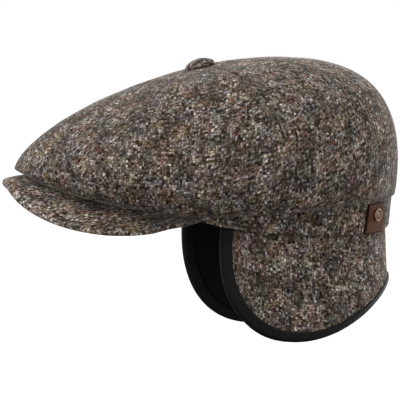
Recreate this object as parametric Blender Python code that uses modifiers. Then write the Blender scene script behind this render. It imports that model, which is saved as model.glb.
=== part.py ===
"""A tweed cap with earflaps.

Eight crown panels meet under a covered button, above a headband and a curved peak. A lined and bound
flap goes round the back from one ear to the other, and a leather tab with a rivet crosses the band.

Lengths are in metres and +Z is up. The peak points along -Y and +X is the wearer's left. The origin is
the centre of the headband's oval, level with the band's lower edge at the back. Angles round the cap start
at the front and turn towards +X.
"""

import math

import bmesh
import bpy
from mathutils import Matrix, Vector

# Cloth, and the small gaps that sewn pieces keep
TWEED = 0.0020
SEAM_GAP = 0.0004
LAYER_GAP = 0.0003

# Headband
BAND_LENGTH = 0.208
BAND_WIDTH = 0.168
BAND_WIDER_BEHIND = 0.02
BAND_HEIGHT_FRONT = 0.0140
BAND_HEIGHT_BACK = 0.0245
BAND_DIP_AT_EARS = 0.0086
BAND_RISE_IN_FRONT = 0.0060
BAND_RISE_POWER = 6

# Peak
PEAK_REACH = 0.0690
PEAK_THICKNESS = 0.0040
PEAK_HALF_ANGLE = math.radians(66)
PEAK_CORNER_POWER = 2.45
PEAK_SEAT = 0.0004
PEAK_END_WIDTH = 0.0030
PEAK_LEFT_LOWER = 0.0040
PEAK_DROP = 0.0175
PEAK_ARCH = 0.0042
PEAK_ARCH_POWER = 4
PEAK_EDGE_THINNING = 0.1

# The peak's edge by its share of the way from the middle to one end. Drop is how far the edge lies below
# its seat on the band, as a share of PEAK_DROP, and arch how far the peak rises above a straight line from
# seat to edge, as a share of PEAK_ARCH.
PEAK_EDGE = (
    # share, drop, arch
    (0.000, 0.20, 1.00),
    (0.125, 0.35, 1.00),
    (0.250, 0.60, 1.00),
    (0.375, 0.80, 0.95),
    (0.500, 0.95, 0.95),
    (0.625, 1.00, 0.90),
    (0.750, 0.95, 0.80),
    (0.875, 0.70, 0.60),
    (1.000, 0.10, 0.00),
)

# Crown
PANEL_COUNT = 8
CROWN_HEIGHT = 0.0992
CROWN_SLOPE_AT_BUTTON = 0.30
BUTTON_FORWARD = 0.0430
OVERHANG_FRONT = 0.0622
OVERHANG_SIDE = 0.022
OVERHANG_BACK = 0.0018
CROWN_WIDER_BEHIND = 0.09
SEAM_BELOW_BAND_TOP = 0.0018
UNDERSIDE_STEEPEST = 0.25
UNDERSIDE_POWER = 1.5
CROWN_FOLD_RADIUS = 0.0100
CROWN_HOLE_RADIUS = 0.0048

# The crown's sections, by degrees from the front. Shoulder is where the top starts to turn down, and lean
# how far inside the rim it turns, both as shares of the way from button to rim. Fullness is the height that
# the turn is drawn towards, and rim that of the widest point, both as shares of CROWN_HEIGHT. Fold is how far
# the lowest line lies below the band's top, as a share of the band's height there, and curl the radius along
# that line, as a share of CROWN_FOLD_RADIUS.
CROWN_SECTIONS = (
    # angle, shoulder, lean, fullness, rim, fold, curl
    (0, 0.35, 0.05, 0.45, 0.15, 0.56, 0.60),
    (30, 0.40, 0.05, 0.45, 0.15, 0.93, 0.80),
    (60, 0.45, 0.10, 0.70, 0.15, 0.86, 1.00),
    (90, 0.50, 0.05, 0.85, 0.20, 0.38, 1.00),
    (120, 0.60, 0.00, 0.95, 0.25, 0.04, 0.70),
    (150, 0.80, 0.00, 0.95, 0.30, 0.01, 0.32),
    (180, 0.80, 0.00, 0.95, 0.30, 0.11, 0.10),
)

# Button on the crown
BUTTON_DIAMETER = 0.0210
BUTTON_HEIGHT = 0.0052
BUTTON_SHANK_RADIUS = 0.0020
BUTTON_SHANK_LENGTH = 0.0040
BUTTON_LIFT = 0.0004

# The button from its top to its foot, as shares of its radius and of its height
BUTTON_HEAD = (
    # radius, height
    (0.00, 1.00),
    (0.26, 0.98),
    (0.50, 0.91),
    (0.71, 0.79),
    (0.87, 0.65),
    (0.97, 0.48),
    (1.00, 0.30),
    (0.94, 0.06),
    (0.86, 0.00),
)

# Earflap: it starts behind the peak, is deepest behind the ear and rises to the back. Its right side reaches
# a little further forward, and deeper by a share.
FLAP_START = math.radians(73.9)
FLAP_DEEPEST = math.radians(107.2)
FLAP_DEEPEST_SHARE = 0.6
FLAP_DEPTH = 0.0760
FLAP_DEPTH_BACK = 0.0375
FLAP_CORNER_POWER = 2.38
FLAP_RIGHT_FORWARD = math.radians(2.1)
FLAP_RIGHT_DEEPER = 0.018
FLAP_TUCK = 0.0080
FLAP_FLARE_SIDE = -0.015
FLAP_FLARE_BACK = 0.147
FLAP_FLARE_BELOW = 0.0006
LINING = 0.0025

# Binding round the flap's edge
BINDING_WIDTH = 0.0070
BINDING_WALL = 0.0010
BINDING_GAP = 0.0004
BINDING_BEND_FLATTENED = 0.8
LAYERS_INSIDE_BINDING = 0.0033

# Leather tab and its rivet
TAB_ANGLE = math.radians(143.6)
TAB_WIDTH = 0.0238
TAB_NARROWER_ABOVE = 0.0032
TAB_THICKNESS = 0.0016
TAB_BELOW_BAND = 0.0010
TAB_BELOW_TOP = 0.0034
RIVET_UP_TAB = 0.61
RIVET_DIAMETER = 0.0092
RIVET_DOME = 0.0012
RIVET_SHANK_RADIUS = 0.0016
RIVET_HOLE_GAP = 0.0003

# The rivet's head from its middle to its foot, as shares of its radius and of RIVET_DOME
RIVET_HEAD = (
    # radius, height
    (0.00, 0.85),
    (0.45, 0.75),
    (0.72, 0.50),
    (0.84, 1.00),
    (0.96, 0.80),
    (1.00, 0.40),
    (0.97, 0.00),
)

# How finely the pieces are cut
PANEL_COLUMNS = 7
DOME_ROWS = 9
FOLD_ROWS = 4
UNDER_ROWS = 2
BAND_COLUMNS = 90
PEAK_COLUMNS = 32
PEAK_ROWS = 6
FLAP_COLUMNS = 60
FLAP_ROWS = 5
LEG_ROWS = 1
BEND_ROWS = 4
TAB_COLUMNS = 6
TURNED_STEPS = 24

SMALL_STEP = 1e-4
MERGE = 1e-6

TWEED_LOOK = {"colour": (0.16, 0.14, 0.13), "roughness": 0.95, "metallic": 0.0}
FLEECE_LOOK = {"colour": (0.012, 0.012, 0.013), "roughness": 0.95, "metallic": 0.0}
TAPE_LOOK = {"colour": (0.020, 0.021, 0.023), "roughness": 0.75, "metallic": 0.0}
LEATHER_LOOK = {"colour": (0.11, 0.045, 0.03), "roughness": 0.6, "metallic": 0.0}
BRASS_LOOK = {"colour": (0.30, 0.19, 0.11), "roughness": 0.45, "metallic": 0.8}


def mix(start, end, share):
    return start + (end - start) * share


def oval(angle, outward=0.0):
    """The band's outer oval at an angle, moved outward by a distance along its own normal."""

    def at(a):
        wide = BAND_WIDTH / 2 * (1 - BAND_WIDER_BEHIND * math.cos(a))
        return Vector((wide * math.sin(a), -BAND_LENGTH / 2 * math.cos(a), 0))

    along = at(angle + SMALL_STEP) - at(angle - SMALL_STEP)
    normal = Vector((along.y, -along.x, 0)).normalized()
    return at(angle) + normal * outward


def oval_speed(angle):
    """Metres of arc along the oval for each radian."""
    return (oval(angle + SMALL_STEP) - oval(angle - SMALL_STEP)).length / (2 * SMALL_STEP)


def back_share(angle):
    """0 at the front, 1 at the back."""
    return (1 - math.cos(angle)) / 2


def band_bottom(angle):
    rise = (1 - back_share(angle)) ** BAND_RISE_POWER
    return BAND_RISE_IN_FRONT * rise - BAND_DIP_AT_EARS * math.sin(angle) ** 2


def band_height(angle):
    return mix(BAND_HEIGHT_FRONT, BAND_HEIGHT_BACK, back_share(angle))


def band_top(angle):
    return band_bottom(angle) + band_height(angle)


def table_row(rows, position):
    """The values of an evenly stepped table at a position, smoothly joined and mirrored past both ends."""
    step = rows[1][0]
    index = min(int(position / step), len(rows) - 2)
    t = position / step - index
    last = len(rows) - 1

    def row(i):
        return rows[abs(i) if i <= last else 2 * last - i]

    values = []
    for column in range(1, len(rows[0])):
        a, b, c, d = (row(index + k)[column] for k in (-1, 0, 1, 2))
        values.append(b + t / 2 * (c - a + t * (2 * a - 5 * b + 4 * c - d + t * (3 * (b - c) + d - a))))
    return values


def crown_rim(angle):
    """The crown's outline from above, beside the band's oval at the same angle."""
    front = BAND_LENGTH / 2 + OVERHANG_FRONT
    back = BAND_LENGTH / 2 + OVERHANG_BACK
    half, forward = (front + back) / 2, (front - back) / 2
    turned = angle + math.asin(forward / half) * math.sin(angle)
    wide = (BAND_WIDTH / 2 + OVERHANG_SIDE) * (1 - CROWN_WIDER_BEHIND * math.cos(turned))
    return Vector((wide * math.sin(turned), -forward - half * math.cos(turned), 0))


def bezier(points, t):
    a, b, c, d = points
    return a * (1 - t) ** 3 + b * 3 * t * (1 - t) ** 2 + c * 3 * t * t * (1 - t) + d * t**3


def crown_surface(angle, row):
    """The crown's outer face. Rows run from the button down the dome, round the fold and in to the band."""
    degrees = abs((math.degrees(angle) + 180) % 360 - 180)
    shoulder, lean, fullness, rim_share, fold, curl = table_row(CROWN_SECTIONS, degrees)
    fold_height = band_top(angle) - fold * band_height(angle)
    fold_radius = curl * CROWN_FOLD_RADIUS
    pole = Vector((0, -BUTTON_FORWARD, CROWN_HEIGHT))
    rim = crown_rim(angle)
    across = rim - Vector((0, -BUTTON_FORWARD, 0))
    rim_height = CROWN_HEIGHT * rim_share
    if row <= DOME_ROWS:
        start = CROWN_HOLE_RADIUS / across.length / (3 * shoulder)
        t = mix(start, 1, row / DOME_ROWS)
        first = pole + across * shoulder + Vector((0, 0, CROWN_SLOPE_AT_BUTTON * across.y * shoulder))
        second = rim - across * lean + Vector((0, 0, CROWN_HEIGHT * fullness))
        return bezier((pole, first, second, rim + Vector((0, 0, rim_height))), t)
    inward = (oval(angle) - rim).normalized()
    if row <= DOME_ROWS + FOLD_ROWS:
        turn = (row - DOME_ROWS) / FOLD_ROWS * math.pi / 2
        height = mix(rim_height, fold_height, math.sin(turn))
        return rim + inward * fold_radius * (1 - math.cos(turn)) + Vector((0, 0, height))
    share = (row - DOME_ROWS - FOLD_ROWS) / UNDER_ROWS
    bottom = rim + inward * fold_radius
    seam = oval(angle, SEAM_GAP)
    steepest = fold_height + UNDERSIDE_STEEPEST * (rim - oval(angle)).length
    seam_height = min(band_top(angle) - SEAM_BELOW_BAND_TOP, steepest)
    return bottom.lerp(seam, share) + Vector((0, 0, mix(fold_height, seam_height, share**UNDERSIDE_POWER)))


def into_crown(angle, row):
    """The way from the crown's outer face to its inner one: square to the dome, and up past the fold."""
    if row > DOME_ROWS:
        turn = min((row - DOME_ROWS) / FOLD_ROWS, 1) * math.pi / 2
        return (oval(angle) - crown_rim(angle)).normalized() * math.cos(turn) + Vector((0, 0, math.sin(turn)))
    along = crown_surface(angle + SMALL_STEP, row) - crown_surface(angle - SMALL_STEP, row)
    down = crown_surface(angle, row) - crown_surface(angle, row - SMALL_STEP)
    return along.cross(down).normalized()


def material(name, look):
    made = bpy.data.materials.new(name)
    made.use_nodes = True
    shader = made.node_tree.nodes["Principled BSDF"]
    shader.inputs["Base Color"].default_value = (*look["colour"], 1)
    shader.inputs["Roughness"].default_value = look["roughness"]
    shader.inputs["Metallic"].default_value = look["metallic"]
    return made


def add_object(name, mesh, finish, smooth_under=math.radians(40)):
    for face in mesh.polygons:
        face.use_smooth = True
    mesh.set_sharp_from_angle(angle=smooth_under)
    mesh.materials.append(finish)
    obj = bpy.data.objects.new(name, mesh)
    bpy.data.collections["earflap_cap"].objects.link(obj)
    return obj


def wall(name, columns, rows, place, finish):
    """A closed wall made from a grid, whose outer and inner points place(u, v, inner) puts at shares u, v."""
    bm = bmesh.new()
    bmesh.ops.create_grid(bm, x_segments=columns, y_segments=rows, size=0.5)
    doubled = bmesh.ops.extrude_face_region(bm, geom=bm.faces[:], use_keep_orig=True)
    inner = {v for v in doubled["geom"] if isinstance(v, bmesh.types.BMVert)}
    bmesh.ops.translate(bm, verts=list(inner), vec=(0, 0, -1))
    bmesh.ops.recalc_face_normals(bm, faces=bm.faces)
    for vert in bm.verts:
        u, v = round((vert.co.x + 0.5) * columns) / columns, round((vert.co.y + 0.5) * rows) / rows
        vert.co = place(u, v, vert in inner)
    if bm.calc_volume(signed=True) < 0:
        bmesh.ops.reverse_faces(bm, faces=bm.faces)
    mesh = bpy.data.meshes.new(name)
    bm.to_mesh(mesh)
    bm.free()
    return add_object(name, mesh, finish)


def turned(name, profile, finish, frame):
    """A solid turned about its own Z from a profile of (radius, height) that starts and ends on the axis."""
    mesh = bpy.data.meshes.new(name)
    bm = bmesh.new()
    verts = [bm.verts.new((radius, 0, height)) for radius, height in profile]
    for first, second in zip(verts, verts[1:]):
        bm.edges.new((first, second))
    bm.to_mesh(mesh)
    bm.free()
    obj = add_object(name, mesh, finish)
    screw = obj.modifiers.new("turn", "SCREW")
    screw.steps = screw.render_steps = TURNED_STEPS
    screw.use_merge_vertices = True
    screw.merge_threshold = MERGE
    screw.use_smooth_shade = True
    obj.matrix_world = frame
    return obj


def frame_at(origin, up, along):
    """A matrix whose Z is up and whose X is near along."""
    z = up.normalized()
    y = z.cross(along).normalized()
    x = y.cross(z)
    return Matrix.Translation(origin) @ Matrix((x, y, z)).transposed().to_4x4()


def make_crown_panel(index, tweed):
    start = math.tau * index / PANEL_COUNT
    end = math.tau * (index + 1) / PANEL_COUNT
    all_rows = DOME_ROWS + FOLD_ROWS + UNDER_ROWS

    def place(u, v, inner):
        angle, row = mix(start, end, u), v * all_rows
        point = crown_surface(angle, row)
        inward = into_crown(angle, row)
        if u in (0, 1):
            outward = crown_rim(angle) - Vector((0, -BUTTON_FORWARD, 0))
            side = Vector((-outward.y, outward.x, 0)).normalized()
            point += side * (SEAM_GAP / 2 if u == 0 else -SEAM_GAP / 2)
            inward -= side * side.dot(inward)
        return point + inward * TWEED if inner else point

    return wall(f"crown_panel_{index + 1}", PANEL_COLUMNS, all_rows, place, tweed)


def make_band(tweed):
    half_gap = SEAM_GAP / 2 / oval_speed(math.pi)

    def place(u, v, inner):
        angle = mix(-math.pi + half_gap, math.pi - half_gap, u)
        point = oval(angle, -TWEED if inner else 0)
        point.z = mix(band_bottom(angle), band_top(angle), v)
        return point

    return wall("headband", BAND_COLUMNS, 1, place, tweed)


def make_peak(tweed):
    end = oval(PEAK_HALF_ANGLE, SEAM_GAP + PEAK_END_WIDTH)
    reach = BAND_LENGTH / 2 + PEAK_REACH + end.y
    power = 2 / PEAK_CORNER_POWER

    def place(u, v, inner):
        share = 2 * u - 1
        turn = abs(share) * math.pi / 2
        drop, arch = table_row(PEAK_EDGE, abs(share))
        seat = oval(share * PEAK_HALF_ANGLE, SEAM_GAP)
        seat.z = band_bottom(share * PEAK_HALF_ANGLE) + PEAK_SEAT + PEAK_THICKNESS / 2
        height = seat.z - drop * PEAK_DROP - PEAK_LEFT_LOWER * math.sin(math.pi * share)
        x = end.x * math.sin(turn) ** power
        y = end.y - reach * max(math.cos(turn), 0) ** power
        point = seat.lerp(Vector((math.copysign(x, share), y, height)), v)
        point.z += arch * PEAK_ARCH * (1 - (2 * v - 1) ** PEAK_ARCH_POWER)
        half = PEAK_THICKNESS / 2 * (1 - PEAK_EDGE_THINNING * v * v)
        point.z += -half if inner else half
        return point

    return wall("peak", PEAK_COLUMNS, PEAK_ROWS, place, tweed)


def flap_offset(angle, height):
    """How far outward of the band's oval the flap's outer face lies: inside the band, and flared below it."""
    flare = mix(FLAP_FLARE_SIDE, FLAP_FLARE_BACK, max(0, -math.cos(angle)) ** 2)
    return -TWEED - LAYER_GAP + flare * max(0, -height - FLAP_FLARE_BELOW)


def flap_edge(share, inset=0.0):
    """(angle, height) on the flap's edge, from the right front at -1 to the left front at 1, less an inset.

    Heights on the flap are measured from the band's lower edge.
    """

    def side(s):
        deepest = FLAP_DEEPEST_SHARE
        if s > deepest:
            turn = (1 - s) / (1 - deepest) * math.pi / 2
            power = 2 / FLAP_CORNER_POWER
            angle = FLAP_DEEPEST - (FLAP_DEEPEST - FLAP_START) * math.cos(turn) ** power
            height = -FLAP_DEPTH * math.sin(turn) ** power
        else:
            angle = mix(math.pi, FLAP_DEEPEST, s / deepest)
            height = -mix(FLAP_DEPTH, FLAP_DEPTH_BACK, (1 + math.cos(math.pi * s / deepest)) / 2)
        if share < 0:
            angle -= FLAP_RIGHT_FORWARD * s * s
            height *= 1 + FLAP_RIGHT_DEEPER * s * s
        return angle, height

    s = abs(share)
    angle, height = side(s)
    before, after = side(max(s - SMALL_STEP, 0)), side(min(s + SMALL_STEP, 1))
    speed = oval_speed(angle)
    along = Vector(((after[0] - before[0]) * speed, after[1] - before[1], 0)).normalized()
    angle += along.y * inset / speed
    height -= along.x * inset
    return (angle if share >= 0 else math.tau - angle), height


def make_flap_layer(name, outer_depth, thickness, finish):
    """One cloth layer of the flap, from the tuck inside the band down to just inside the binding."""
    right_end, left_end = (flap_edge(end, LAYERS_INSIDE_BINDING)[0] for end in (-1, 1))

    def place(u, v, inner):
        share = 2 * u - 1
        edge_angle, edge_height = flap_edge(share, LAYERS_INSIDE_BINDING)
        angle = mix(mix(right_end, left_end, u), edge_angle, v)
        height = mix(FLAP_TUCK, edge_height, v)
        depth = outer_depth + (thickness if inner else 0)
        point = oval(angle, flap_offset(angle, height) - depth)
        point.z = band_bottom(angle) + height
        return point

    return wall(name, FLAP_COLUMNS, FLAP_ROWS, place, finish)


def make_binding(cloth):
    """The folded tape round the flap's edge: a U in section that holds the edges of both layers."""
    layers = TWEED + LAYER_GAP + LINING
    slot = layers / 2 + BINDING_GAP
    rows = 2 * LEG_ROWS + BEND_ROWS

    def section(v, inner):
        """(depth from the middle of the layers, distance in from the edge) round the U."""
        half = slot if inner else slot + BINDING_WALL
        bottom = BINDING_WALL if inner else 0
        bend = half * BINDING_BEND_FLATTENED
        row = v * rows
        if LEG_ROWS <= row <= LEG_ROWS + BEND_ROWS:
            turn = (row - LEG_ROWS) / BEND_ROWS * math.pi
            return half * math.cos(turn), bottom + bend * (1 - math.sin(turn))
        leg = (LEG_ROWS - row) / LEG_ROWS if row < LEG_ROWS else (row - LEG_ROWS - BEND_ROWS) / LEG_ROWS
        depth = half if row < LEG_ROWS else -half
        return depth, mix(bottom + bend, BINDING_WIDTH, leg)

    def place(u, v, inner):
        share = 2 * u - 1
        outward, inward = section(v, inner)
        angle, height = flap_edge(share, inward)
        if u in (0, 1):
            height = -LAYER_GAP
        point = oval(angle, flap_offset(angle, height) - layers / 2 + outward)
        point.z = band_bottom(angle) + height
        return point

    return wall("flap_binding", FLAP_COLUMNS, rows, place, cloth)


def make_tab(leather):

    def place(u, v, inner):
        half_angle = (TAB_WIDTH - TAB_NARROWER_ABOVE * v) / 2 / oval_speed(TAB_ANGLE)
        angle = TAB_ANGLE + mix(-half_angle, half_angle, u)
        point = oval(angle, LAYER_GAP + (0 if inner else TAB_THICKNESS))
        point.z = mix(band_bottom(angle) - TAB_BELOW_BAND, band_top(angle) - TAB_BELOW_TOP, v)
        return point

    tab = wall("leather_tab", TAB_COLUMNS, 2, place, leather)
    outward = oval(TAB_ANGLE, 1) - oval(TAB_ANGLE)
    seat = oval(TAB_ANGLE, LAYER_GAP + TAB_THICKNESS)
    seat.z = mix(band_bottom(TAB_ANGLE) - TAB_BELOW_BAND, band_top(TAB_ANGLE) - TAB_BELOW_TOP, RIVET_UP_TAB)
    frame = frame_at(seat, outward, Vector((0, 0, 1)))
    bore = bpy.data.meshes.new("rivet_hole")
    bm = bmesh.new()
    radius = RIVET_SHANK_RADIUS + RIVET_HOLE_GAP
    bmesh.ops.create_cone(
        bm, cap_ends=True, segments=16, radius1=radius, radius2=radius, depth=4 * TAB_THICKNESS
    )
    bm.to_mesh(bore)
    bm.free()
    cutter = bpy.data.objects.new("rivet_hole", bore)
    cutter.matrix_world = frame
    cutter.hide_render = True
    cutter.display_type = "WIRE"
    bpy.data.collections["cutters"].objects.link(cutter)
    cut = tab.modifiers.new("rivet hole", "BOOLEAN")
    cut.object = cutter
    return frame


def make_rivet(frame, brass):
    """A low domed head with a raised rim on the leather, and a shank in the leather's hole."""
    head = [(RIVET_DIAMETER / 2 * radius, LAYER_GAP + RIVET_DOME * height) for radius, height in RIVET_HEAD]
    profile = [
        *head,
        (RIVET_SHANK_RADIUS, LAYER_GAP),
        (RIVET_SHANK_RADIUS, -TAB_THICKNESS),
        (0, -TAB_THICKNESS),
    ]
    return turned("tab_rivet", profile, brass, frame)


def make_button(tweed):
    """A cloth-covered button, tilted to the crown's slope, with a shank down through the panels' tips."""
    up = Vector((0, -CROWN_SLOPE_AT_BUTTON, 1)).normalized()
    seat = Vector((0, -BUTTON_FORWARD, CROWN_HEIGHT)) + up * BUTTON_LIFT
    head = [(BUTTON_DIAMETER / 2 * radius, BUTTON_HEIGHT * height) for radius, height in BUTTON_HEAD]
    profile = [
        *head,
        (BUTTON_SHANK_RADIUS, 0),
        (BUTTON_SHANK_RADIUS, -BUTTON_SHANK_LENGTH),
        (0, -BUTTON_SHANK_LENGTH),
    ]
    return turned("top_button", profile, tweed, frame_at(seat, up, Vector((1, 0, 0))))


def main():
    for obj in list(bpy.data.objects):
        bpy.data.objects.remove(obj)
    for name in ("earflap_cap", "cutters"):
        bpy.context.scene.collection.children.link(bpy.data.collections.new(name))
    crown_tweed = material("crown_tweed", TWEED_LOOK)
    for index in range(PANEL_COUNT):
        make_crown_panel(index, crown_tweed)
    make_button(material("button_tweed", TWEED_LOOK))
    make_band(material("band_tweed", TWEED_LOOK))
    make_peak(material("peak_tweed", TWEED_LOOK))
    make_flap_layer("flap_cloth", 0, TWEED, material("flap_tweed", TWEED_LOOK))
    make_flap_layer("flap_lining", TWEED + LAYER_GAP, LINING, material("black_fleece", FLEECE_LOOK))
    make_binding(material("black_tape", TAPE_LOOK))
    rivet_frame = make_tab(material("brown_leather", LEATHER_LOOK))
    make_rivet(rivet_frame, material("aged_brass", BRASS_LOOK))


main()
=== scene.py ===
"""Looks for the tweed earflap cap: cloth, binding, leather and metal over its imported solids.

Lengths are in metres, +Z is up, the peak points along -Y and +X is the wearer's left. Angles round the
cap start at the front and turn towards +X. Every cloth piece is a wall on a fine grid, with a UV map in
metres whose V runs along the cloth's grain, so that weave and flecks follow each piece as it was cut.
"""

import logging
import math
import random
from dataclasses import dataclass, field
from enum import Enum
from typing import Callable, Optional, Sequence, Union

import bmesh
import bpy
from mathutils import Matrix, Vector, noise

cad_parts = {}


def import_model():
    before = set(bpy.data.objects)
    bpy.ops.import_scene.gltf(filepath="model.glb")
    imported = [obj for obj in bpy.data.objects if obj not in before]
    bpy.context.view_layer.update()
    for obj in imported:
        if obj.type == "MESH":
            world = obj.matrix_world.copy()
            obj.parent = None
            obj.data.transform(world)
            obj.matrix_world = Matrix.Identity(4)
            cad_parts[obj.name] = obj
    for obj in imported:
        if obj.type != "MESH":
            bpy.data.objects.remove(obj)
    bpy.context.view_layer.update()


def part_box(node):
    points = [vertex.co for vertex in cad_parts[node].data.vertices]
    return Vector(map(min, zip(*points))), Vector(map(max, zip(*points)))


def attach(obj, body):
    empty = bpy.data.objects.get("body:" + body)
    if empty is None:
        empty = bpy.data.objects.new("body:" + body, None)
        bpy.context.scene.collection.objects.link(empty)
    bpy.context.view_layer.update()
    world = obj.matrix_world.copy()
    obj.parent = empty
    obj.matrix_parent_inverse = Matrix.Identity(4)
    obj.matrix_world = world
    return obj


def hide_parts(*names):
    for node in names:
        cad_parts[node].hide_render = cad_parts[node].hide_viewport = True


LOG = logging.getLogger("earflap_cap")

TURN = math.tau
SMALL_STEP = 1e-4
SAME_POINT = 1e-6
CUT_TO_FIT = 0.98
CLOTH_UV = "cloth"
EDGE_WEAR = "edge_distance"
# Mesh attribute of painted shade, which darkens the tweed's colour in seams and creases and on the button's
# lower side.
PAINTED_SHADING = "hollow"

Place = Callable[[float, float, bool], Vector]
Ground = tuple[bpy.types.Object, int]


def mix(start: float, end: float, share: float) -> float:
    """The value at a share of the way from start to end."""
    return start + (end - start) * share


def smooth_step(start: float, end: float, value: float) -> float:
    """0 before start, 1 after end, and smooth in between."""
    share = min(max((value - start) / (end - start), 0.0), 1.0)
    return share * share * (3 - 2 * share)


def hump(value: float, centre: float, width: float) -> float:
    """1 at the centre, and less and less away from it on both sides."""
    return math.exp(-(((value - centre) / width) ** 2))


def bezier(points: Sequence[Vector], t: float) -> Vector:
    """The point at t on a cubic curve through its first and last point."""
    a, b, c, d = points
    return a * (1 - t) ** 3 + b * 3 * t * (1 - t) ** 2 + c * 3 * t * t * (1 - t) + d * t**3


def table_row(rows: Sequence[Sequence[float]], position: float) -> list[float]:
    """Reads an evenly stepped table between its rows.

    Args:
        rows: rows whose first column is the position, evenly stepped from 0.
        position: where to read, from 0 to the last row's position.

    Returns:
        The other columns there, smoothly joined and mirrored past both ends.
    """
    step, last = rows[1][0], len(rows) - 1
    index = min(int(position / step), last - 1)
    t = position / step - index
    four = [rows[abs(i) if i <= last else 2 * last - i] for i in range(index - 1, index + 3)]
    values = []
    for column in range(1, len(rows[0])):
        a, b, c, d = (row[column] for row in four)
        values.append(b + t / 2 * (c - a + t * (2 * a - 5 * b + 4 * c - d + t * (3 * (b - c) + d - a))))
    return values


def frame_at(seat: Vector, x: Vector, y: Vector, z: Vector) -> Matrix:
    """The matrix that puts what was made at the origin on a seat, with its axes along three others."""
    return Matrix.Translation(seat) @ Matrix((x, y, z)).transposed().to_4x4()


class Slot(Enum):
    """The record's material slots."""

    TWEED = "tweed"
    LINING = "lining"
    BINDING = "binding"
    LEATHER = "leather"
    METAL = "metal"


class Hold(Enum):
    """How a cloth piece is held."""

    HUNG = "hung"
    STRETCHED = "stretched"
    FOLDED = "folded"


class Signal:
    """A value in a material's node tree, with Python's operators adding Math nodes."""

    def __init__(self, graph: "Graph", socket: bpy.types.NodeSocket) -> None:
        """Wraps an output socket of the graph."""
        self.graph = graph
        self.socket = socket

    def _math(self, operation: str, *values: "Value") -> "Signal":
        """Adds one Math node."""
        return self.graph.node("ShaderNodeMath", {"operation": operation}, list(values))

    def __add__(self, other: "Value") -> "Signal":
        """Sum."""
        return self._math("ADD", self, other)

    def __sub__(self, other: "Value") -> "Signal":
        """Difference."""
        return self._math("SUBTRACT", self, other)

    def __rsub__(self, other: "Value") -> "Signal":
        """Difference from a number."""
        return self._math("SUBTRACT", other, self)

    def __mul__(self, other: "Value") -> "Signal":
        """Product."""
        return self._math("MULTIPLY", self, other)

    def __truediv__(self, other: "Value") -> "Signal":
        """Quotient."""
        return self._math("DIVIDE", self, other)

    def __mod__(self, other: "Value") -> "Signal":
        """Remainder, never negative."""
        return self._math("FLOORED_MODULO", self, other)

    def __pow__(self, other: "Value") -> "Signal":
        """Power."""
        return self._math("POWER", self, other)

    def __gt__(self, other: "Value") -> "Signal":
        """1 where this is greater, or else 0."""
        return self._math("GREATER_THAN", self, other)

    def __lt__(self, other: "Value") -> "Signal":
        """1 where this is less, or else 0."""
        return self._math("LESS_THAN", self, other)

    __radd__ = __add__
    __rmul__ = __mul__

    def floor(self) -> "Signal":
        """The whole number below."""
        return self._math("FLOOR", self)

    def cosine(self) -> "Signal":
        """The cosine of this many radians."""
        return self._math("COSINE", self)

    def step(self, start: float, end: float) -> "Signal":
        """0 at start and 1 at end, smooth in between, clamped outside."""
        settings = {"interpolation_type": "SMOOTHSTEP"}
        return self.graph.node("ShaderNodeMapRange", settings, {0: self, 1: start, 2: end})


Value = Union[float, Signal]
Colour = tuple[float, float, float]
Paint = Union[Signal, Colour]


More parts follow.
